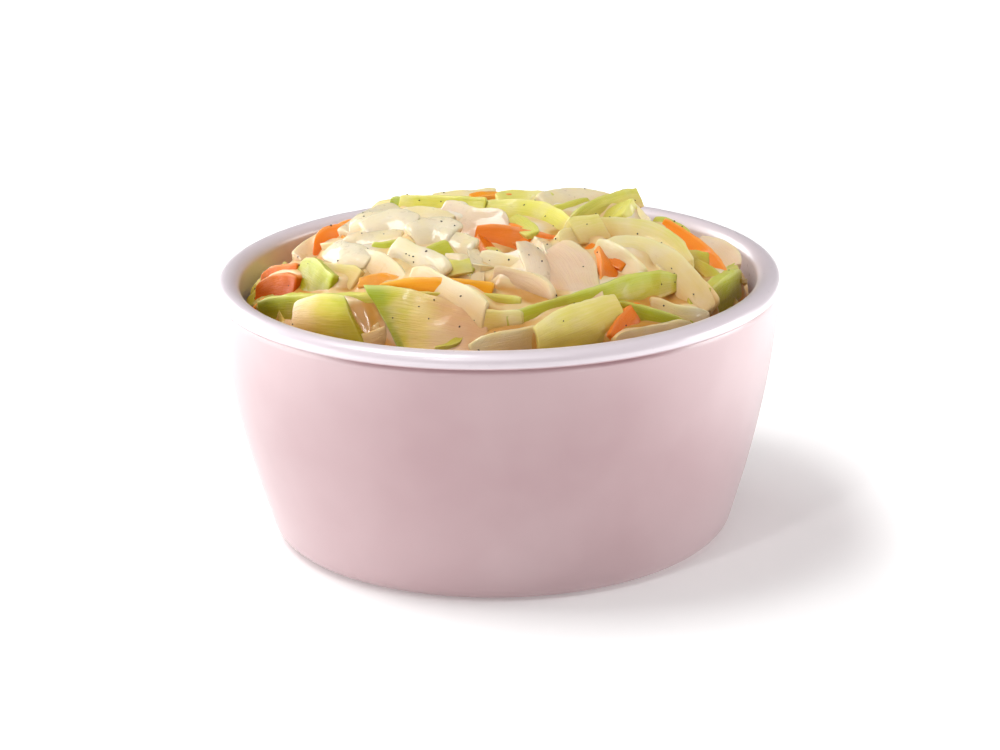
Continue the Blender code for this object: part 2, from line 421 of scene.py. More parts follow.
def make_glaze():
    made, tree, shader = new_material("dusty_pink_glaze")
    place = tree.add("ShaderNodeTexCoord", None, None, "Object")
    flat = tree.node("ShaderNodeSeparateXYZ", None, {0: place})
    x, y, height = (Signal(tree, flat.outputs[i]) for i in range(3))
    squared = x * x + y * y
    radius = squared.maths("SQRT", squared)
    share_down = (1 - height / (SEAM_HEIGHT * MM)).clamped()
    drawn_in = share_down.maths("POWER", share_down, WALL_CURVE) * (WALL_DRAWN_IN * MM)
    behind_wall = (LIP_RADIUS - SEAM_STEP) * MM - drawn_in - radius
    inner = behind_wall.step(1.0 * MM, 2.5 * MM) * height.step(2 * MM, 4 * MM)
    on_lip = height.step((SEAM_HEIGHT - 0.1) * MM, (SEAM_HEIGHT + 0.3) * MM)
    near_top = height.step(SEAM_HEIGHT * 0.55 * MM, SEAM_HEIGHT * MM)
    cloud = tree.noise(place, 38.0, 3.0).step(0.35, 0.7)
    # Painted bounce light from the table: the wall is paler towards the foot.
    foot_bounce_light = 1 - height.step(1 * MM, SEAM_HEIGHT * 0.6 * MM)
    paleness = (cloud * 0.3 + near_top * 0.05 + foot_bounce_light * 0.5).clamped()
    wall = tree.mix(paleness, linear(WALL_PINK), linear(WALL_PINK_PALE))
    pale = on_lip.maths("MAXIMUM", on_lip, inner)
    tree.put(shader.inputs["Base Color"], tree.mix(pale, wall, linear(LIP_WHITE)))
    grain = tree.noise(place, 900.0, 2.0)
    tree.put(shader.inputs["Roughness"], 0.46 - pale * 0.2 + grain * 0.05)
    shader.inputs["Specular IOR Level"].default_value = 0.5
    tree.put(shader.inputs["Coat Weight"], 1 - pale * 0.4)
    shader.inputs["Sheen Weight"].default_value = 0.25
    shader.inputs["Sheen Roughness"].default_value = 0.5
    shader.inputs["Coat IOR"].default_value = 2.3
    shader.inputs["Coat Roughness"].default_value = 0.34
    orange_peel = tree.noise(place, 160.0, 2.0)
    bump(tree, shader, orange_peel, 0.05, 0.4 * MM)
    return made


# %% Turn the pot
TURN_STEPS = 220


def turning_tree(material):
    """Sweeps the profile, which stands in the XZ plane, round the Z axis."""
    tree = ShapeTree("turn_profile", [("Steps", "NodeSocketInt"), ("Radius", "NodeSocketFloat")])
    sizes = {"Resolution": tree.given("Steps"), "Radius": tree.given("Radius")}
    ring = tree.add("GeometryNodeCurvePrimitiveCircle", None, sizes)
    sweep = {0: ring, 1: tree.given("Geometry")}
    swept = tree.add("GeometryNodeCurveToMesh", None, sweep)
    closed = {"Geometry": swept, "Distance": 0.01 * MM}
    merged = tree.add("GeometryNodeMergeByDistance", None, closed)
    smooth = tree.add("GeometryNodeSetShadeSmooth", None, {0: merged})
    tree.finish(smooth, material)
    return tree


def make_pot():
    profile = pot_profile()
    curve = bpy.data.curves.new("profile", "CURVE")
    curve.dimensions = "3D"
    spline = curve.splines.new("POLY")
    spline.points.add(len(profile) - 1)
    for point, (out, z) in zip(spline.points, profile):
        point.co = ((out - LIP_RADIUS) * MM, -z * MM, 0.0, 1.0)
    source = bpy.data.objects.new("profile", curve)
    bpy.context.scene.collection.objects.link(source)
    tree = turning_tree(make_glaze())
    pot = run_tree(source, tree, {"Steps": TURN_STEPS, "Radius": LIP_RADIUS * MM}, "pot_glazed")
    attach(pot, "root")
    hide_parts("pot")
    corners = [v.co for v in pot.data.vertices]
    print("pot height", max(c.z for c in corners) / MM, "lowest", min(c.z for c in corners) / MM)
    return pot


pot = make_pot()

# %% [markdown]
# ## How the heap is laid
#
# Real coleslaw is a pile: each shred lies on what fell before it, bends over it and hangs down
# where nothing holds it. A physics simulation of three hundred soft shreds would take hours, so we
# keep a height map of the pile instead. For each new shred we read the heights under it, hold it up
# on the highest, let it sag between them, and then raise the map to its upper face.

# %% The height map, in millimetres
CELL = 0.5
HALF_GRID = 100
WALL_LIMIT = 45.9
HEAP_EDGE = 42.6
HEAP_TOP = 55.6
HEAP_SHAPE = 3.5
CORE_DEPTH = 6.0
BENDS_LESS = 40


def dome(x, y):
    """The height of the finished heap's smooth outline."""
    share = np.minimum(1.0, np.hypot(x, y) / 46.0)
    return HEAP_EDGE + (HEAP_TOP - HEAP_EDGE) * (1 - share**HEAP_SHAPE)


class Pile:
    """The height of the pile on a square grid."""

    def __init__(self):
        ticks = np.arange(-HALF_GRID, HALF_GRID + 1) * CELL
        self.x, self.y = np.meshgrid(ticks, ticks, indexing="ij")
        self.core = dome(self.x, self.y) - CORE_DEPTH
        self.z = self.core.copy()

    def cells(self, x, y):
        i = np.clip(np.rint(x / CELL).astype(int) + HALF_GRID, 0, 2 * HALF_GRID)
        j = np.clip(np.rint(y / CELL).astype(int) + HALF_GRID, 0, 2 * HALF_GRID)
        return i, j

    def height(self, x, y):
        return self.z[self.cells(x, y)]

    def cover(self, x, y, z):
        np.maximum.at(self.z, self.cells(x, y), z)


pile = Pile()

# %% [markdown]
# A shred is a ribbon of points: `s` runs along it and `v` across it, from -1 to 1. Its path is a
# smooth curve through a few places on the heap. Each shred tips with the ground below, and some
# also lean over on an edge, as sliced leaf does.

# %% One shred
POINT_EVERY = 1.4
END_CROWDING = 0.55
NARROW = np.array([-1.0, -0.86, -0.3, 0.3, 0.86, 1.0])
WIDE = np.array([-1.0, -0.93, -0.7, -0.4, 0.0, 0.4, 0.7, 0.93, 1.0])


def smooth_path(places, count):
    """Points at even distances along a curve through the places."""
    places = np.asarray(places, float)
    if len(places) == 2:
        places = np.array([places[0], places.mean(0), places[1]])
    ends = (2 * places[0] - places[1], 2 * places[-1] - places[-2])
    p = np.vstack([ends[0], places, ends[1]])
    points = []
    for i in range(1, len(p) - 2):
        for t in np.linspace(0, 1, 12, endpoint=False):
            a = 2 * p[i] + (p[i + 1] - p[i - 1]) * t
            b = (2 * p[i - 1] - 5 * p[i] + 4 * p[i + 1] - p[i + 2]) * t * t
            c = (3 * p[i] - p[i - 1] - 3 * p[i + 1] + p[i + 2]) * t**3
            points.append((a + b + c) / 2)
    points = np.array([*points, p[-2]])
    run = np.concatenate([[0], np.cumsum(np.hypot(*np.diff(points, axis=0).T))])
    even = np.linspace(0, run[-1], count)
    return np.stack([np.interp(even, run, points[:, k]) for k in (0, 1)], 1), run[-1]


def blurred(values, times):
    for _ in range(times):
        ends = np.concatenate([values[:1], values, values[-1:]])
        values = (ends[:-2] + 2 * values + ends[2:]) / 4
    return values


SHAPE = {"lean": 0, "turn": (0, 0), "cup": 0.0, "wave": 0.0}
SHAPE |= {"ends": (0.7, 0.7), "slant": (0.0, 0.0), "above": None, "seed": 0}


class Shred:
    """One ribbon laid on the pile, with what its finish needs to know."""

    def __init__(self, places, width, thick, **more):
        more = SHAPE | more
        lean, cup, ends, wave = (more[label] for label in ("lean", "cup", "ends", "wave"))
        chance = np.random.default_rng(more["seed"])
        length = smooth_path(places, 9)[1]
        count = max(7, int(length / POINT_EVERY) + 1)
        centre, length = smooth_path(places, count)
        s = np.linspace(0, 1, count)
        s = s - END_CROWDING * np.sin(math.tau * s) / math.tau
        centre = np.stack([np.interp(s, np.linspace(0, 1, count), centre[:, k]) for k in (0, 1)], 1)
        v = NARROW if width < 6.5 else WIDE
        across = len(v)
        along = np.gradient(centre, axis=0)
        along /= np.linalg.norm(along, axis=1)[:, None]
        side = np.stack([-along[:, 1], along[:, 0]], 1)
        near_end = np.abs(2 * s - 1) ** 5
        end_share = np.where(s < 0.5, ends[0], ends[1])
        swell = 1 + 0.10 * np.sin(s * chance.uniform(4, 9) + chance.uniform(0, 6))
        half = width / 2 * swell * (1 - (1 - end_share) * near_end)
        slant = more["slant"][0] * (1 - s) ** 4 + more["slant"][1] * s**4
        slant += near_end * chance.uniform(-0.12, 0.12, count)
        shift = -slant[:, None] * v * half[:, None]
        turn = np.interp(s, np.linspace(0, 1, len(more["turn"])), more["turn"])
        tip = np.radians(lean + turn) + 0.08 * np.sin(s * 3 + chance.uniform(0, 6))
        flat = np.cos(np.clip(tip, -1.2, 1.2))
        x = centre[:, :1] + side[:, :1] * v * (half * flat)[:, None] + along[:, :1] * shift
        y = centre[:, 1:] + side[:, 1:] * v * (half * flat)[:, None] + along[:, 1:] * shift
        given = more["above"] is not None
        ground = dome(x, y) if given else pile.height(x, y)
        slope = (ground * v).sum(1) / (v * v).sum() / np.maximum(half * flat, 0.5)
        angle = np.clip(blurred(np.arctan(slope) * 0.7, 3), -0.6, 0.6) + tip
        rise = v * (half * np.sin(angle))[:, None]
        need = ground - rise
        if given:
            above = np.interp(s, np.linspace(0, 1, len(more["above"])), more["above"])
            middle = blurred(dome(centre[:, 0], centre[:, 1]) + above, 3)
        else:
            middle = self.draped(need, half, tip, thick)
        crown = cup * (1 - v * v) * half[:, None]
        ripple = wave * np.sin(s[:, None] * length / 2.6 + v * 2 + chance.uniform(0, 6)) * v * v
        self.x = centre[:, :1] + side[:, :1] * v * (half * np.cos(angle))[:, None] + along[:, :1] * shift
        self.y = centre[:, 1:] + side[:, 1:] * v * (half * np.cos(angle))[:, None] + along[:, 1:] * shift
        self.z = middle[:, None] + rise + crown + ripple
        self.x -= side[:, :1] * crown * np.sin(angle)[:, None]
        self.y -= side[:, 1:] * crown * np.sin(angle)[:, None]
        out = np.hypot(self.x, self.y)
        limit = WALL_LIMIT - thick / 2
        inward = np.minimum(1.0, limit / np.maximum(out, 1e-6))
        self.x *= inward
        self.y *= inward
        self.s = np.repeat(s[:, None], across, 1)
        self.v = np.repeat(v[None, :], count, 0)
        self.thick = thick
        self.length = length

    @staticmethod
    def draped(need, half, tip, thick):
        """The line of a soft shred that lies on the pile and sags between its high places."""
        hold = 0.6 * need.max(1) + 0.4 * need.mean(1)
        rest = hold.copy()
        for _ in range(BENDS_LESS):
            rest[1:-1] = np.maximum(hold[1:-1], (rest[:-2] + rest[2:]) / 2 - 0.05)
            rest[0] = max(hold[0], rest[1] - 0.35)
            rest[-1] = max(hold[-1], rest[-2] - 0.35)
        sink = 0.25 * thick + 0.5 * half * np.abs(np.sin(tip))
        return blurred(rest, 2) + thick / 2 - sink

    def top(self):
        return float((self.z - dome(self.x, self.y)).mean() + self.thick / 2)

    def settle(self):
        """Raise the pile to this shred's upper face."""
        for weight in (0.0, 0.5):
            for shift in (0.0, 0.5):
                x, y, z = (self.between(a, weight, shift) for a in (self.x, self.y, self.z))
                pile.cover(x, y, z + self.thick / 2 * 0.95)

    @staticmethod
    def between(a, weight, shift):
        a = a[:-1] * (1 - weight) + a[1:] * weight
        return a[:, :-1] * (1 - shift) + a[:, 1:] * shift


def widest(values, reach):
    """The highest value within reach cells, in both directions."""
    for axis in (0, 1):
        ends = [values.take([0] * reach, axis), values, values.take([-1] * reach, axis)]
        windows = np.lib.stride_tricks.sliding_window_view(np.concatenate(ends, axis), 2 * reach + 1, axis)
        values = windows.max(-1)
    return values


def softened(values, times):
    for _ in range(times):
        values = blurred(blurred(values, 1).T, 1).T
    return values


BURIED_BELOW = 0.9
BURIED_REACH = 3.2


def painted_gap_shade(x, y, z):
    """How much painted shade a point gets: 0 for what lies on top of the heap, 1 for what lies a few
    millimetres down in a gap.
    """
    above = pile.ceiling[pile.cells(x, y)]
    return np.clip((above - z - BURIED_BELOW) / BURIED_REACH, 0, 1)


class Kind:
    """All shreds of one kind, gathered for one piece."""

    def __init__(self):
        self.shreds = []

    def add(self, shred, **values):
        shred.settle()
        self.shreds.append((shred, values))

    def ribbons(self, name):
        """One mesh of open ribbons, whose points carry their values."""
        points, faces, columns = [], [], {}
        start = 0
        for shred, values in self.shreds:
            rows, across = shred.x.shape
            points.append(np.stack([shred.x, shred.y, shred.z], -1).reshape(-1, 3))
            grid = np.arange(rows * across).reshape(rows, across) + start
            quads = np.stack([grid[:-1, :-1], grid[1:, :-1], grid[1:, 1:], grid[:-1, 1:]], -1)
            faces.extend(quads.reshape(-1, 4).tolist())
            start += rows * across
            fields = {"along": shred.s, "across": shred.v, "thick": shred.s * 0 + shred.thick * MM}
            # The share of painted shade each point gets in the gaps.
            fields["painted_gap_shade"] = painted_gap_shade(shred.x, shred.y, shred.z + shred.thick / 2)
            for label, value in values.items():
                fields[label] = value(shred.s, shred.v) if callable(value) else shred.s * 0 + value
            for label, field in fields.items():
                columns.setdefault(label, []).append(field.ravel())
        joined = {label: np.concatenate(field) for label, field in columns.items()}
        return mesh_object(name, np.concatenate(points), faces, joined)


# %% [markdown]
# ## The shreds that fill the heap
#
# Most of a heap is not arranged. We throw shreds at it: each lands at a random place, mostly along
# the wall near the wall, and is kept only if it stays under the outline. This goes on for a fixed
# number of throws, so the back and the sides are as full as the front.

# %% Throw the filling shreds
chance = np.random.default_rng(5)
cabbage, greens, leaves, carrots = Kind(), Kind(), Kind(), Kind()
FILL_TRIES = 900
FILL_BELOW = -1.1


def shade(g0, g1, end=0.0):
    """How green a shred is at its two edges, and how that changes along it."""
    return lambda s, v: np.clip(g0 + (g1 - g0) * (v + 1) / 2 + end * (s - 0.5), 0, 1)


def fading(first, last, power):
    """Green at the first end that fades to cream along the shred."""
    return lambda s, v: last + (first - last) * (1 - s) ** power


def thrown_path(length):
    out = 44 * math.sqrt(chance.random())
    around = chance.uniform(0, math.tau)
    swing = 0.5 if out > 33 else math.pi / 2
    heading = around + math.pi / 2 + chance.uniform(-swing, swing)
    bend = chance.uniform(-0.9, 0.9)
    middle = np.array([math.cos(around), math.sin(around)]) * out
    steps = [np.array([math.cos(heading + b), math.sin(heading + b)]) for b in (-bend / 2, bend / 2)]
    return [middle - steps[0] * length / 2, middle, middle + steps[1] * length / 2]


def throw(number):
    kind = chance.choice(["cream", "pale", "lime", "carrot", "leaf"], p=[0.38, 0.22, 0.12, 0.18, 0.10])
    seed = 1000 + number
    if kind == "carrot":
        length, width, thick = chance.uniform(8, 19), chance.uniform(2.0, 3.0), chance.uniform(1.7, 2.3)
        lean = chance.uniform(-30, 30)
        shred = Shred(thrown_path(length), width, thick, lean=lean, seed=seed, ends=(0.6, 0.8))
    elif kind == "leaf":
        length, width, thick = chance.uniform(10, 16), chance.uniform(7, 10), chance.uniform(0.9, 1.3)
        lean = chance.uniform(-25, 25)
        shred = Shred(thrown_path(length), width, thick, lean=lean, seed=seed, cup=0.2, wave=0.35)
    else:
        length, width = chance.uniform(8, 22), chance.uniform(2.6, 5.2)
        thick, lean = chance.uniform(1.5, 2.6), chance.uniform(-45, 45)
        cup = chance.uniform(-0.15, 0.25)
        shred = Shred(thrown_path(length), width, thick, lean=lean, seed=seed, cup=cup, wave=0.15)
    if shred.top() > FILL_BELOW:
        return
    tone, coat = chance.random(), chance.uniform(0.2, 0.9)
    if kind == "carrot":
        carrots.add(shred, tone=tone, coat=coat, green=0.0)
        return
    low = {"cream": 0.02, "pale": 0.2, "lime": 0.5, "leaf": 0.06}[kind]
    high = {"cream": 0.18, "pale": 0.5, "lime": 0.95, "leaf": 0.3}[kind]
    ends = chance.uniform(low, high, 2)
    greenness = shade(*ends, chance.uniform(-0.25, 0.25))
    gathered = {"cream": cabbage, "pale": greens, "lime": greens, "leaf": leaves}[kind]
    gathered.add(shred, tone=tone, coat=coat, green=greenness)


for number in range(FILL_TRIES):
    throw(number)
print("thrown:", [len(kind.shreds) for kind in (cabbage, greens, leaves, carrots)])

# %% [markdown]
# ## The shreds that show
#
# The top layer is laid one by one, as a food stylist would. Each entry says where the shred starts,
# passes and ends, in millimetres from the middle of the heap, then its width and thickness and how
# green it is at its two edges. `lean` tips it on its edge, and `above` is how far its middle line
# runs above the smooth outline of the heap.

# %% Lay the top layer


def lay(kind, places, width, thick, green=(0.1, 0.1), end=0.0, coat=0.5, tone=0.5, **shape):
    shape.setdefault("seed", len(kind.shreds) + 7)
    greenness = green if callable(green) else shade(*green, end)
    kind.add(Shred(places, width, thick, **shape), tone=tone, coat=coat, green=greenness)


# %% The skyline and the far side
lay(
    cabbage, [(-23, 20), (-19, 17), (-15, 13)], 5.0, 2.6, (0.05, 0.5), coat=0.6, lean=25,
    above=(0.4, 1.2),
)
lay(carrots, [(-5, 18), (-1, 18), (3, 17)], 3.0, 2.0, coat=0.4, tone=0.7, above=(1.0, 1.4))
lay(
    greens, [(0, 15), (5, 16), (10, 14)], 4.6, 2.4, (0.2, 0.3), coat=0.4, tone=0.8, lean=25,
    above=(0.9, 0.9),
)
lay(
    cabbage, [(8, 12), (14, 17), (21, 18)], 5.6, 2.4, (0.02, 0.06), coat=0.6, tone=0.95, lean=30,
    above=(1.0, 1.2),
)
lay(greens, [(10, 5), (13, 8), (17, 12)], 4.2, 2.2, (0.3, 0.42), coat=0.2, lean=35, above=(0.2, 1.0))
lay(
    carrots, [(30, 6), (34, 0), (38, -7), (40, -12)], 4.6, 2.4, coat=0.25, tone=0.6, lean=50,
    above=(0.8, 0.8, 0.4),
)
lay(
    leaves, [(36, 11), (40, 8), (42, 3)], 7.0, 1.4, (0.0, 0.05), coat=0.5, tone=0.7, lean=40,
    wave=0.4, above=(0, 0),
)
lay(greens, [(28, 7), (31, 5), (34, 2)], 5.2, 1.4, (0.55, 0.8), coat=0.2, lean=45, above=(0.6, 0.6))
lay(
    greens, [(14, 2), (20, 11), (26, 20)], 4.2, 2.0, (0.1, 0.5), coat=0.1, tone=0.8, lean=58,
    above=(0.3, 1.8, 3.5), ends=(0.7, 0.97),
)
lay(
    greens, [(21.5, 1), (22, 5), (23, 10)], 5.6, 2.4, (0.28, 0.4), coat=0.2, tone=0.6, lean=-35,
    above=(0.9, 2.2), ends=(0.9, 0.9),
)
lay(
    cabbage, [(25, 14), (27, 6), (29, -3)], 4.2, 1.4, (0.0, 0.06), coat=0.6, tone=0.95, lean=-45,
    above=(1.6, 0.8),
)

# %% Along the wall on the left
lay(
    carrots, [(-43, -4), (-39, -8), (-35, -13)], 4.4, 2.2, coat=0.1, tone=0.15, lean=60,
    above=(0.2, 0.4),
)
lay(carrots, [(-42, 0), (-39, -4), (-35, -8)], 4.0, 2.2, coat=0.1, tone=0.25, lean=60, above=(0.2, 0.6))
lay(
    cabbage, [(-36, -3), (-33, -1), (-30, 0)], 5.0, 3.0, (0.02, 0.12), coat=0.85, tone=0.8, lean=35,
    above=(0.4, 0.8),
)
lay(
    carrots, [(-33, -2), (-29.5, -1.5), (-26, -1)], 6.0, 2.4, coat=0.15, tone=0.5, lean=60,
    above=(1.0, 1.4), ends=(0.4, 0.7),
)
lay(carrots, [(-29, 5), (-26, 5), (-22, 4)], 3.6, 2.0, coat=0.3, tone=0.6, lean=40, above=(0.9, 0.9))
lay(
    carrots, [(-28, 0), (-26, -5), (-24, -10)], 2.8, 1.6, coat=0.4, tone=0.75, lean=-25,
    above=(1.4, 0.9),
)

# %% The middle, far half
lay(
    greens, [(-18, 12), (-10, 9), (-2, 6)], 6.0, 2.2, (0.3, 0.38), coat=0.3, tone=0.3, lean=50,
    above=(1.0, 1.2, 1.0), ends=(0.95, 0.9),
)
lay(
    greens, [(-19.5, 13.5), (-18, 13), (-16.5, 12)], 4.4, 2.4, (0.9, 0.95), coat=0.0, tone=0.1,
    lean=40, above=(1.4, 1.4),
)
lay(
    carrots, [(-4, -5), (5, -9), (13, -14)], 5.4, 1.8, coat=0.3, tone=0.35, lean=60,
    above=(-0.4, -0.4), ends=(0.9, 0.9),
)
lay(carrots, [(0, -2), (3, -6), (6, -10)], 4.0, 1.8, coat=0.3, tone=0.5, lean=40, above=(0.2, 0.2))
lay(
    greens, [(-3, 7), (5, 3), (11, -5), (14, -12)], 6.6, 2.0, (0.42, 0.24), coat=0.4, tone=0.3,
    lean=42, above=(1.0, 1.2, 1.0, 0.4),
)
lay(
    greens, [(3, 0), (5, -5), (6.5, -10)], 3.4, 2.2, (0.3, 0.42), coat=0.2, tone=0.6, lean=20,
    above=(1.2, 1.0),
)
lay(
    cabbage, [(11, -15), (15, -11), (19, -7)], 5.8, 3.0, (0.05, 0.28), coat=0.4, tone=0.9, lean=45,
    above=(0.8, 1.0),
)
lay(
    leaves, [(-11, 3), (-5, -2), (2, -4)], 9.0, 1.2, (0.0, 0.02), coat=0.9, tone=1.0, lean=38,
    above=(1.2, 1.0, 0.8), ends=(0.8, 0.3),
)
lay(
    carrots, [(-3, -5), (-2, -11), (-1, -17)], 3.0, 1.8, coat=0.2, tone=0.2, lean=-30,
    above=(-0.6, -0.6),
)
lay(
    cabbage, [(-14, -11), (-9, -14), (-4, -17)], 5.2, 2.8, (0.05, 0.18), coat=0.9, tone=0.7,
    lean=40, cup=0.25, above=(0.8, 0.6),
)
lay(
    greens, [(-21, -14), (-18, -15), (-14, -15)], 4.8, 2.4, (0.5, 0.75), coat=0.15, tone=0.2,
    lean=45, above=(0.6, 0.6),
)
lay(
    cabbage, [(-26, -3), (-20, -4), (-13, -8)], 7.0, 3.0, (0.02, 0.15), coat=1.0, tone=0.9, lean=30,
    cup=0.3, above=(1.2, 1.4, 0.9),
)
lay(
    cabbage, [(-27, -8), (-23, -10), (-17, -11)], 5.0, 3.0, (0.05, 0.2), coat=0.95, tone=0.7,
    lean=35, cup=0.3, above=(0.9, 0.9),
)

# %% The middle, near half
lay(
    cabbage, [(-4.5, -17), (-3.5, -26), (-4.5, -34)], 2.4, 1.4, (0.0, 0.04), coat=0.7, tone=1.0,
    lean=-10, above=(1.2, 1.0, 0.8),
)
lay(
    greens, [(-10, -24), (-7, -25), (-4, -26)], 3.0, 2.2, (0.35, 0.45), coat=0.1, tone=0.7, lean=50,
    above=(0.8, 0.8), ends=(0.9, 0.9),
)
lay(
    cabbage, [(-18, -19), (-14, -22), (-9, -26)], 6.0, 3.0, (0.0, 0.08), coat=0.6, tone=0.8,
    lean=45, cup=0.3, above=(0.8, 0.5), ends=(0.9, 0.4),
)
lay(
    cabbage, [(-3, -20), (1, -23), (6, -25)], 4.6, 2.2, (0.08, 0.16), coat=0.5, tone=0.7, lean=45,
    above=(0.6, 0.4),
)
lay(
    leaves, [(-1, -28), (4, -31), (9, -36)], 9.0, 1.4, (0.0, 0.03), coat=0.4, tone=0.6, lean=60,
    wave=0.3, above=(0.4, 0.2),
)
lay(
    leaves, [(5, -17), (7, -24), (7, -31)], 6.6, 1.6, (0.0, 0.06), coat=0.6, tone=0.95, lean=-35,
    cup=0.35, above=(1.2, 0.8),
)
lay(
    leaves, [(8.5, -19), (11.5, -27), (13.5, -35)], 11.0, 1.3, (0.0, 0.05), coat=0.3, tone=0.1,
    lean=20, turn=(10, -15), wave=0.5, cup=0.12, above=(1.2, 1.6, 1.2),
)
lay(
    carrots, [(18, -15), (19, -22), (18, -29)], 4.6, 2.2, coat=0.2, tone=0.45, lean=-35,
    above=(0.7, 0.5),
)
lay(carrots, [(16, -14), (19, -18), (22, -21)], 2.2, 1.6, coat=0.3, tone=0.6, lean=30, above=(1.0, 1.0))

# %% The right
lay(
    greens, [(35, -23), (40, -13), (43, -4)], 6.4, 2.0, (0.85, 0.7), coat=0.15, tone=0.05, lean=58,
    above=(0.6, 0.8, 0.8),
)
lay(
    cabbage, [(16, -7), (24, -5), (30, -9), (33, -14)], 6.6, 2.2, (0.14, 0.5), coat=0.5, tone=0.5,
    lean=42, cup=0.15, above=(0.9, 1.0, 0.8),
)
lay(
    greens, [(28, -13), (33, -9), (38, -5)], 3.6, 2.0, (0.35, 0.55), coat=0.2, tone=0.6, lean=35,
    above=(0.9, 0.9),
)
lay(
    cabbage, [(17, -16), (21, -19), (25, -23)], 6.4, 2.6, (0.02, 0.12), coat=0.5, tone=0.9, lean=50,
    above=(0.8, 0.6),
)
lay(
    cabbage, [(19, -16), (25, -15), (31, -19), (36, -25)], 6.8, 2.2, (0.04, 0.34), coat=0.5,
    tone=0.8, lean=48, cup=0.2, above=(1.0, 1.2, 0.8),
)
lay(
    cabbage, [(29, -17), (33, -19), (37, -23)], 7.0, 2.4, (0.06, 0.14), coat=0.4, tone=0.5, lean=52,
    above=(0.8, 0.5), ends=(0.9, 0.9),
)

# %% The left, near the front
lay(
    greens, [(-35, -8), (-32.5, -15), (-29, -22)], 6.5, 1.4, (0.95, 0.8), coat=0.0, tone=0.1,
    lean=48, above=(1.0, 1.2, 1.0), ends=(0.1, 1.0),
)
lay(
    cabbage, [(-32, -15), (-28, -18), (-24, -22)], 5.4, 2.4, (0.2, 0.45), coat=0.6, tone=0.6,
    lean=40, above=(0.8, 0.8),
)
lay(
    cabbage, [(-29, -12), (-23, -19), (-16, -28)], 7.4, 2.4, (0.02, 0.1), coat=0.9, tone=0.5,
    lean=35, above=(1.0, 1.0, 0.6),
)
lay(
    greens, [(-42, -13), (-28, -27), (-12, -33.5), (4, -35.5)], 5.2, 1.8, fading(1.0, 0.3, 3),
    coat=0.1, tone=0.3, lean=62, above=(0.2, 1.0, 1.0, 0.8), ends=(0.9, 0.9),
)
lay(
    carrots, [(-20, -29.5), (-11, -32.5), (-1, -33.5)], 5.8, 3.0, coat=0.05, tone=0.85, lean=55,
    above=(1.8, 2.2, 1.8), ends=(0.85, 0.8),
)
lay(
    cabbage, [(-35, -25), (-30, -29), (-24, -32.5)], 8.6, 2.8, fading(0.0, 0.9, 1.5), coat=0.3,
    tone=0.6, lean=44, cup=0.12, above=(0.8, 1.1, 0.8), ends=(0.72, 1.0), slant=(0, 0.9),
)
lay(
    leaves, [(-19.5, -35), (-12, -38.3), (-2, -41)], 11.5, 1.2, fading(1.2, 0.0, 3), coat=0.3,
    tone=0.3, lean=22, wave=0.1, above=(2.0, 2.0, 1.0), seed=3, slant=(0.9, 0), ends=(0.95, 0.6),
)
lay(
    cabbage, [(-14.5, -28.5), (-8.5, -33.5), (-2, -38.5)], 4.8, 2.6, (0.0, 0.06), coat=0.5,
    tone=0.95, lean=42, above=(3.4, 3.6, 2.2), ends=(0.4, 0.95),
)

# %% The right, near the front
lay(
    cabbage, [(-4, -38), (0, -38.5), (4, -38)], 4.8, 3.0, (0.35, 0.45), coat=0.2, tone=0.6, lean=50,
    above=(1.0, 1.0),
)
lay(
    cabbage, [(-5, -43), (1, -42), (7, -40)], 5.0, 2.6, (0.04, 0.2), coat=0.6, tone=0.9, lean=45,
    above=(0.8, 0.8),
)
lay(
    carrots, [(19, -39), (21, -35.5), (24, -31)], 5.0, 2.2, coat=0.05, tone=0.6, lean=40,
    above=(0.6, 0.8),
)
lay(
    greens, [(6, -42), (13, -38.5), (20, -33)], 6.6, 3.2, (0.34, 0.12), coat=0.3, tone=0.9, lean=40,
    cup=0.2, above=(1.0, 1.2, 1.0),
)
lay(
    cabbage, [(19, -39.5), (26, -35), (33, -30)], 4.8, 2.2, (0.04, 0.14), coat=0.6, tone=0.9,
    lean=48, above=(0.8, 0.8),
)
lay(
    cabbage, [(26, -29), (31, -29), (36, -26)], 5.4, 2.0, (0.04, 0.2), coat=0.6, tone=0.8, lean=45,
    above=(0.8, 0.8),
)
lay(
    greens, [(20, -32), (26, -32), (33, -30)], 3.8, 1.8, (0.6, 0.85), coat=0.1, tone=0.2, lean=55,
    above=(1.2, 1.2),
)
lay(
    greens, [(1, -39), (10, -36), (20, -30), (31, -20)], 5.0, 2.0, (0.35, 0.75), coat=0.2, tone=0.4,
    lean=50, above=(1.4, 1.8, 1.8, 1.2), ends=(0.5, 0.6),
)

# %% Thin strips between the big ones
lay(
    cabbage, [(-31, -4), (-26, -8), (-22, -14)], 2.6, 1.4, (0.05, 0.2), coat=0.8, tone=0.9,
    above=(1.8, 2.2, 1.6),
)
lay(
    cabbage, [(-24, 3), (-19, 1), (-15, -3)], 2.4, 1.6, (0.0, 0.1), coat=0.9, tone=1.0,
    above=(1.9, 2.6, 2.2),
)
lay(
    greens, [(-30, -9), (-27, -13), (-26, -18)], 3.0, 1.5, (0.4, 0.7), coat=0.3, tone=0.5, lean=20,
    above=(1.7, 1.9, 1.5),
)
lay(
    cabbage, [(-17, 5), (-12, 3), (-8, -1)], 3.2, 1.8, (0.1, 0.3), coat=0.8, tone=0.8, lean=25,
    above=(1.8, 2.0, 1.6),
)
lay(
    cabbage, [(-13, -17), (-11, -20), (-5, -21)], 3.0, 1.8, (0.1, 0.2), coat=0.7, tone=0.8, lean=30,
    above=(0.6, 0.9),
)
lay(
    carrots, [(-24, -24), (-20, -25), (-17, -27)], 2.6, 1.8, coat=0.6, tone=0.9, lean=30,
    above=(1.6, 1.6),
)
lay(
    cabbage, [(7, -12), (9, -16), (9, -21)], 2.6, 1.5, (0.0, 0.1), coat=0.7, tone=0.9, lean=-20,
    above=(1.2, 1.4),
)
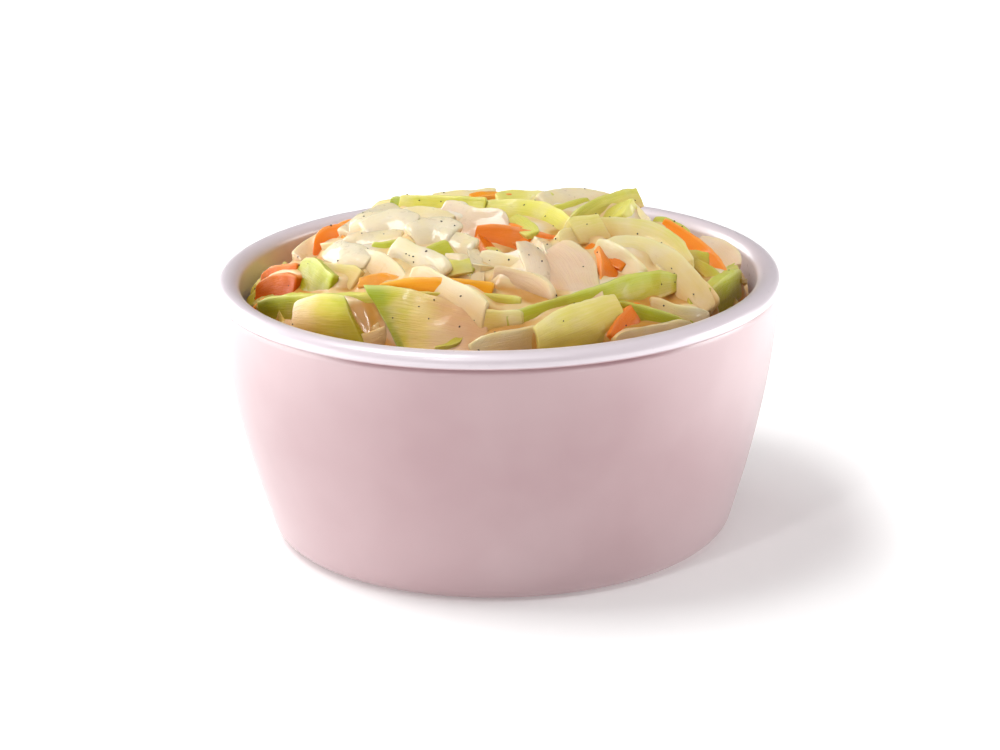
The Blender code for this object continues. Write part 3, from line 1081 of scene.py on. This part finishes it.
lay(
    greens, [(33, -8), (37, -10), (40, -14)], 3.0, 1.6, (0.3, 0.5), coat=0.3, tone=0.5, lean=30,
    above=(0.8, 0.8),
)
lay(
    cabbage, [(25, -8), (28, -15), (29, -20)], 3.4, 1.6, (0.1, 0.25), coat=0.5, tone=0.8, lean=-15,
    above=(1.2, 1.4),
)
lay(
    cabbage, [(9, -29), (12, -32), (12, -36)], 3.6, 1.6, (0.0, 0.1), coat=0.5, tone=0.8, lean=15,
    above=(1.2, 1.0),
)
lay(
    greens, [(33, -22), (34, -25), (33, -29)], 3.0, 1.5, (0.6, 0.9), coat=0.1, tone=0.3, lean=-20,
    above=(1.0, 0.8),
)
lay(
    cabbage, [(-12, 22), (-6, 21), (0, 22)], 3.4, 1.8, (0.1, 0.3), coat=0.6, tone=0.9, lean=15,
    above=(1.0, 1.2),
)

# %% A pale chunk in the middle and coated lumps on the left
lay(
    cabbage, [(13, -12), (15.5, -10), (18.5, -8)], 5.6, 3.2, (0.3, 0.5), coat=0.2, tone=0.9,
    lean=38, above=(2.2, 2.4), ends=(0.9, 0.9),
)
lay(
    greens, [(-22, -14), (-19, -16), (-15, -15)], 4.4, 2.2, (0.5, 0.8), coat=0.1, tone=0.3, lean=40,
    above=(1.6, 1.6),
)
lay(
    greens, [(-14.5, -20), (-11, -20), (-8, -18)], 4.6, 2.2, (0.35, 0.6), coat=0.1, tone=0.4,
    lean=45, above=(1.6, 1.6),
)
lay(
    cabbage, [(-23.5, -7), (-19, -5.5), (-14.5, -7)], 6.4, 3.2, (0.0, 0.08), coat=1.0, tone=1.0,
    lean=28, cup=0.24, above=(2.0, 2.6, 2.0),
)
lay(
    cabbage, [(-15, -13), (-11, -11), (-7.5, -13)], 6.0, 3.2, (0.02, 0.1), coat=0.9, tone=0.9,
    lean=30, cup=0.24, above=(1.9, 2.4, 1.8),
)
lay(
    cabbage, [(-27, -4), (-23, 1), (-18.5, 8)], 4.4, 2.6, (0.0, 0.1), coat=0.9, tone=0.9, lean=22,
    cup=0.22, above=(1.6, 2.2, 1.8),
)
lay(
    cabbage, [(-29, -9), (-27, -14), (-22, -19)], 4.6, 2.6, (0.0, 0.06), coat=0.9, tone=0.7,
    lean=20, cup=0.22, above=(1.8, 2.4, 1.6),
)
lay(
    greens, [(-9.5, -25.5), (-7, -25.5), (-4.5, -25)], 3.2, 2.2, (0.2, 0.35), coat=0.1, tone=0.9,
    lean=35, above=(1.6, 1.8), ends=(0.9, 0.9),
)
lay(
    cabbage, [(-18, -18), (-14, -22), (-9, -27)], 5.2, 2.8, (0.0, 0.08), coat=0.6, tone=0.9,
    lean=40, cup=0.3, above=(2.0, 1.8, 0.8), ends=(0.95, 0.5),
)

# %% Small bits on top
CRUMBS = 70
CRUMB_TOP = 2.2


def drop_crumb(number):
    length, width, thick = chance.uniform(2.5, 6.5), chance.uniform(1.2, 2.6), chance.uniform(0.8, 1.5)
    kind = (cabbage, greens, greens, carrots, leaves)[number % 5]
    lean, slant = chance.uniform(-35, 35), chance.uniform(-0.6, 0.6, 2)
    path = thrown_path(length)
    shred = Shred(path, width, thick, lean=lean, slant=slant, seed=3000 + number, ends=(0.8, 0.8))
    if shred.top() < CRUMB_TOP:
        tone, coat = chance.random(), chance.uniform(0.1, 0.7)
        kind.add(shred, tone=tone, coat=coat, green=chance.uniform(0.05, 0.7))


for number in range(CRUMBS):
    drop_crumb(number)
pile.ceiling = softened(widest(pile.z, 6), 3)
laid = (cabbage, greens, leaves, carrots)
print("laid:", [len(kind.shreds) for kind in laid], "cream, green, leaf and carrot")

# %% [markdown]
# ## From ribbon to slice
#
# A shred has to be a real slice with thickness and soft edges. One Geometry Nodes tree does this
# for every kind: it moves the ribbon down by half its own thickness and turns it over for the
# underside, extrudes the rest for the upper face and the edges, welds both and rounds the whole
# with a subdivision. A slow noise then makes the cut faces uneven.

# %% The plumping tree
EDGE_SHARE = 0.16


def plumping_tree(material):
    sizes = [("Levels", "NodeSocketInt"), ("Ripple", "NodeSocketFloat"), ("Grain", "NodeSocketFloat")]
    tree = ShapeTree("plump_ribbons", sizes)
    ribbons = tree.given("Geometry")
    thick = tree.named("thick")
    normal = tree.add("GeometryNodeInputNormal")
    half = tree.add("ShaderNodeVectorMath", {"operation": "SCALE"}, {0: normal, "Scale": thick * -0.5})
    lower = tree.add("GeometryNodeSetPosition", None, {"Geometry": ribbons, "Offset": half})
    under = tree.add("GeometryNodeFlipFaces", None, {0: lower})
    upper, top = lower, True
    for share in (EDGE_SHARE, 1 - 2 * EDGE_SHARE, EDGE_SHARE):
        part = tree.add("ShaderNodeVectorMath", {"operation": "SCALE"}, {0: normal, "Scale": thick * share})
        pulled = {"Mesh": upper, "Selection": top, "Offset": part, "Individual": False}
        raised = tree.node("GeometryNodeExtrudeMesh", {"mode": "FACES"}, pulled)
        upper, top = Signal(tree, raised.outputs["Mesh"]), Signal(tree, raised.outputs["Top"])
    join = tree.node("GeometryNodeJoinGeometry")
    for part in (upper, under):
        tree.nodes.links.new(part.socket, join.inputs[0])
    both = {"Geometry": Signal(tree, join.outputs[0]), "Distance": 0.002 * MM}
    welded = tree.add("GeometryNodeMergeByDistance", None, both)
    rounded_edges = {"Mesh": welded, "Level": tree.given("Levels")}
    soft = tree.add("GeometryNodeSubdivisionSurface", None, rounded_edges)
    place = tree.add("GeometryNodeInputPosition")
    wave = tree.noise(place, tree.given("Grain"), 2.0) - 0.5
    push = wave * tree.given("Ripple")
    outward = tree.add("GeometryNodeInputNormal")
    move = tree.add("ShaderNodeVectorMath", {"operation": "SCALE"}, {0: outward, "Scale": push})
    uneven = tree.add("GeometryNodeSetPosition", None, {"Geometry": soft, "Offset": move})
    tree.finish(tree.add("GeometryNodeSetShadeSmooth", None, {0: uneven}), material)
    return tree


def make_slices(kind, name, material, ripple, grain):
    source = kind.ribbons(name + "_ribbons")
    sizes = {"Levels": 1, "Ripple": ripple * MM, "Grain": grain}
    piece = run_tree(source, plumping_tree(material), sizes, name)
    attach(piece, "root")
    return piece


# %% [markdown]
# ## Finishes of the vegetables
#
# Sliced white cabbage runs from cream at the rib to lime green at the outer leaf. Each point of a
# slice carries how green it is, how light and how well coated. The dressing is a thin film of the
# same creamy colour that lies on it in patches, with soft gloss, so it only changes colour and
# gloss here; where it is thick it gets a mesh of its own.

# %% Cabbage, leaf and carrot
DRESSING = "#F8E9D8"
DRESSING_SHADED = "#E8C78E"
# Painted shade colour, multiplied into slices that lie down in gaps.
GAP_SHADE_COLOUR = "#DBAA5C"
RIM_LIGHT = "#F8EFB8"
FIBRE_LIGHT = "#F6E4B4"
FILM_COVER = 0.4
FILM_COVER_GREEN = 0.28
FILM_COVER_CARROT = 0.15
GAP_SHADE = 0.7


def let_light_in(shader):
    """Moist flesh and dressing scatter light a little way under the surface."""
    shader.inputs["Subsurface Weight"].default_value = 0.18
    shader.inputs["Subsurface Scale"].default_value = 0.002


def dressing_mask(tree, place, coat):
    """Where the film of dressing lies: patches a few millimetres wide, wider where coat is more."""
    patches = tree.noise(place, 210.0, 2.0, 0.45)
    return (patches + coat * 0.5 - 0.25).step(0.36, 0.78)


def make_vegetable(name, stops, tint, cover=FILM_COVER):
    made, tree, shader = new_material(name)
    place = tree.add("ShaderNodeTexCoord", None, None, "Object")
    green, tone, coat = (tree.attribute(label) for label in ("green", "tone", "coat"))
    along, across = tree.attribute("along"), tree.attribute("across")
    lines = tree.add("ShaderNodeCombineXYZ", None, {0: along * 1.5, 1: across * 4.0, 2: tone * 40.0})
    veins = tree.noise(lines, 2.0, 3.0, 0.6)
    threads = tree.add("ShaderNodeCombineXYZ", None, {0: along * 2.5, 1: across * 16.0, 2: tone * 70.0})
    fibres = tree.noise(threads, 1.6, 2.0, 0.7).step(0.35, 0.7)
    clouds = tree.noise(place, 190.0, 2.0)
    key = (tone if tint == "tone" else green) + (clouds - 0.5) * 0.22 + (veins - 0.5) * 0.25
    flesh = tree.ramp(key.clamped(), stops)
    paleness = (tone * 0.24 + fibres * 0.22) * (1 - green * 0.75)
    lighter = tree.mix(paleness.clamped(), flesh, linear(FIBRE_LIGHT), "MIX")
    flesh = lighter if tint == "green" else flesh
    film = dressing_mask(tree, place, coat)
    rim = across.maths("ABSOLUTE", across).step(0.72, 1.0)
    flesh = tree.mix(rim * cover * 0.8, flesh, linear(RIM_LIGHT))
    coloured = tree.mix(film * cover, flesh, linear(DRESSING))
    # Painted shade: slices are darkened to a warm brown where they lie down in gaps.
    deep = tree.attribute("painted_gap_shade")
    gap_shaded = tree.mix(deep * GAP_SHADE, coloured, linear(GAP_SHADE_COLOUR), "MULTIPLY")
    tree.put(shader.inputs["Base Color"], gap_shaded)
    gloss = tree.noise(place, 950.0, 2.0)
    tree.put(shader.inputs["Roughness"], 0.4 - film * 0.1 + (gloss - 0.5) * 0.3)
    shader.inputs["Specular IOR Level"].default_value = 0.25
    tree.put(shader.inputs["Coat Weight"], film * 0.5 + 0.15)
    shader.inputs["Coat Roughness"].default_value = 0.08
    shader.inputs["Subsurface Radius"].default_value = (1.0, 0.75, 0.3)
    let_light_in(shader)
    relief = tree.noise(place, 620.0, 2.0) * 0.6 + veins * 0.7 + fibres * 0.25 + film * 0.4
    bump(tree, shader, relief, 0.4, 0.4 * MM)
    return made


CREAM_STOPS = [(0.0, "#F7E6BE"), (1.0, "#C2C826"), (0.3, "#F0DE92"), (0.6, "#DFD650")]
GREEN_STOPS = [(0.0, "#F4EAA2"), (1.0, "#A0B000"), (0.25, "#E6E058"), (0.5, "#CCCE1E"), (0.75, "#BAC406")]
LEAF_STOPS = [(0.0, "#E8C6A8"), (1.0, "#9CB400"), (0.3, "#EADC80"), (0.65, "#CBD02A")]
CARROT_STOPS = [(0.0, "#E27000"), (1.0, "#FFB414"), (0.5, "#FF8C0A")]

wet_cream = make_vegetable("wet_cream_cabbage", CREAM_STOPS, "green")
wet_green = make_vegetable("wet_green_cabbage", GREEN_STOPS, "green", FILM_COVER_GREEN)
wet_leaf = make_vegetable("wet_leaf", LEAF_STOPS, "green")
wet_carrot = make_vegetable("wet_carrot", CARROT_STOPS, "tone", FILM_COVER_CARROT)

cabbage_piece = make_slices(cabbage, "cabbage_shreds", wet_cream, 0.95, 300.0)
green_piece = make_slices(greens, "green_shreds", wet_green, 0.85, 300.0)
leaf_piece = make_slices(leaves, "cabbage_leaves", wet_leaf, 1.1, 210.0)
carrot_piece = make_slices(carrots, "carrot_shreds", wet_carrot, 0.8, 330.0)

# %% [markdown]
# ## Core and dressing
#
# Under the shreds lies a core that fills the pot, lower than the outline all over: it closes the
# heap, and its dark brown is painted shade that gives the gaps their warm, deep colour. The loose dressing
# gathers in the narrow gaps. We
# find those on the height map: a closing, which is a widest-first then narrowest filter, fills
# only what is narrower than a few millimetres. The dressing's level is a little below that, and its colour
# is painted darker the further it lies below the shreds around.

# %% Surfaces from the height map


def height_solid(name, z, radius, bottom, values=None):
    """A closed solid under a height map, out to a circle."""
    inside = np.hypot(pile.x, pile.y) <= radius
    index = np.full(z.shape, -1)
    index[inside] = np.arange(inside.sum())
    top = np.stack([pile.x[inside], pile.y[inside], z[inside]], 1)
    under = top.copy()
    under[:, 2] = bottom
    corners = np.stack([index[:-1, :-1], index[1:, :-1], index[1:, 1:], index[:-1, 1:]], -1).reshape(-1, 4)
    quads = corners[(corners >= 0).all(1)]
    edges = np.concatenate([quads[:, [i, (i + 1) % 4]] for i in range(4)])
    keys = {tuple(edge) for edge in edges.tolist()}
    rim = [edge for edge in keys if (edge[1], edge[0]) not in keys]
    count = len(top)
    faces = quads.tolist()
    faces += [[b, a, a + count, b + count] for a, b in rim]
    faces += [[d + count, c + count, b + count, a + count] for a, b, c, d in quads.tolist()]
    doubled = {label: np.tile(field[inside], 2) for label, field in (values or {}).items()}
    return mesh_object(name, np.concatenate([top, under]), faces, doubled)


core_height = pile.core + 0.5 * np.sin(pile.x * 0.9) * np.cos(pile.y * 0.8)
closed_height = -widest(-widest(pile.z, 4), 4)
GAP_LEVEL = 0.9
GAP_REACH = 3.0
SPOONED_LEVEL = 0.3
SPOONED = (
    (-19, 0, 4.5),
    (-25, -15, 4),
    (-7, 2, 4),
    (5, -22, 3),
    (25, -16, 3),
    (14, 26, 8),
    (-16, 28, 7),
    (31, 18, 5),
)


def spooned_mask():
    """Where dressing was spooned on and stands almost as high as the shreds: 1 there, 0 elsewhere."""
    mask = np.zeros_like(pile.z)
    for x, y, radius in SPOONED:
        mask += np.exp(-((pile.x - x) ** 2 + (pile.y - y) ** 2) / radius**2)
    return np.clip((mask - 0.35) / 0.4, 0, 1)


over = softened(closed_height, 2) - SPOONED_LEVEL
spooned = softened(spooned_mask(), 2)
film_height = (softened(closed_height, 3) - GAP_LEVEL) * (1 - spooned) + over * spooned


def make_creamy(name, near, far, deepest):
    made, tree, shader = new_material(name)
    place = tree.add("ShaderNodeTexCoord", None, None, "Object")
    depth = tree.attribute("depth")
    clouds = tree.noise(place, 210.0, 3.0)
    # Painted shade: the colour darkens with depth below the shreds around.
    key = (depth + (clouds - 0.5) * 0.6).clamped()
    tree.put(shader.inputs["Base Color"], tree.ramp(key, [(0.0, near), (1.0, deepest), (0.55, far)]))
    tree.put(shader.inputs["Roughness"], 0.24 + clouds * 0.18)
    tree.put(shader.inputs["Coat Weight"], clouds * 0.5)
    shader.inputs["Coat Roughness"].default_value = 0.1
    let_light_in(shader)
    shader.inputs["Specular IOR Level"].default_value = 0.35
    bump(tree, shader, tree.noise(place, 380.0, 2.0), 0.1, 0.3 * MM)
    return made


def depth_of(z):
    """How much painted shade the dressing gets: 0 near the tops of the shreds around, 1 far below them."""
    return np.clip((pile.ceiling - z - GAP_LEVEL) / GAP_REACH, 0, 1)


CORE_RADIUS = 45.0
CORE_BOTTOM = 24.0
CORE_SHADE = 0.8
FILM_RADIUS = 45.2
FILM_BOTTOM = 36.0


def make_core():
    # The core's dark brown is painted shade that fills the gaps between the shreds.
    shades = {"depth": np.full_like(core_height, CORE_SHADE)}
    core = height_solid("slaw_core", core_height, CORE_RADIUS, CORE_BOTTOM, shades)
    core.data.materials.append(make_creamy("painted_gap_shade_core", "#B07018", "#7A4406", "#5A2E02"))
    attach(core, "root")
    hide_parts("coleslaw")


def make_film():
    shades = {"depth": depth_of(film_height)}
    film = height_solid("dressing", film_height, FILM_RADIUS, FILM_BOTTOM, shades)
    film.data.materials.append(make_creamy("creamy_dressing", DRESSING, DRESSING_SHADED, "#C48A3C"))
    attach(film, "root")


make_core()
make_film()

# %% [markdown]
# ## Pepper
#
# Ground pepper is a few hundred irregular flecks a third of a millimetre across. They stick to the
# upper faces. Geometry Nodes scatter them: points on the faces that look up, a small faceted ball
# on each, squashed, turned and sized at random.

# %% Pepper
FLECK_RADIUS = 0.19


def pepper_tree(material):
    sizes = [("Density", "NodeSocketFloat"), ("Radius", "NodeSocketFloat"), ("Seed", "NodeSocketInt")]
    tree = ShapeTree("scatter_pepper", sizes)
    normal = tree.add("GeometryNodeInputNormal")
    up = tree.add("ShaderNodeSeparateXYZ", None, {0: normal}, "Z")
    upward = tree.add("FunctionNodeCompare", {"operation": "GREATER_THAN"}, {0: up, 1: 0.25})
    spread = {"Mesh": tree.given("Geometry"), "Selection": upward}
    spread |= {"Density": tree.given("Density"), "Seed": tree.given("Seed")}
    points = tree.add("GeometryNodeDistributePointsOnFaces", None, spread)
    ball = tree.add("GeometryNodeMeshIcoSphere", None, {"Radius": tree.given("Radius"), "Subdivisions": 1})
    turn = {"data_type": "FLOAT_VECTOR"}
    ranges = {0: (0.0, 0.0, 0.0), 1: (6.3, 6.3, 6.3)}
    angles = tree.add("FunctionNodeRandomValue", turn, ranges)
    sizes = tree.add("FunctionNodeRandomValue", turn, {0: (0.5, 0.5, 0.5), 1: (1.6, 1.2, 1.0)})
    flecks = {"Points": points, "Instance": ball, "Rotation": angles, "Scale": sizes}
    tree.finish(tree.add("GeometryNodeInstanceOnPoints", None, flecks), material)
    return tree


def make_pepper(surfaces):
    made, tree, shader = new_material("ground_pepper")
    place = tree.add("ShaderNodeTexCoord", None, None, "Object")
    shades = tree.noise(place, 900.0, 1.0)
    tree.put(shader.inputs["Base Color"], tree.ramp(shades, [(0.3, "#1C1712"), (0.7, "#4A3524")]))
    shader.inputs["Roughness"].default_value = 0.55
    source = bpy.data.objects.new("pepper_ground", bpy.data.meshes.new("pepper_ground"))
    bpy.context.scene.collection.objects.link(source)
    merged = [np.empty((0, 3))]
    faces, start = [], 0
    for surface in surfaces:
        mesh = surface.data
        count = len(mesh.vertices)
        points = np.empty(count * 3)
        mesh.vertices.foreach_get("co", points)
        merged.append(points.reshape(-1, 3))
        faces.extend([[i + start for i in p.vertices] for p in mesh.polygons])
        start += count
    source.data.from_pydata(np.concatenate(merged).tolist(), [], faces)
    sizes = {"Density": 26000.0, "Radius": FLECK_RADIUS * MM, "Seed": 3}
    pepper = run_tree(source, pepper_tree(made), sizes, "pepper")
    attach(pepper, "root")


make_pepper([cabbage_piece, green_piece, leaf_piece, carrot_piece])
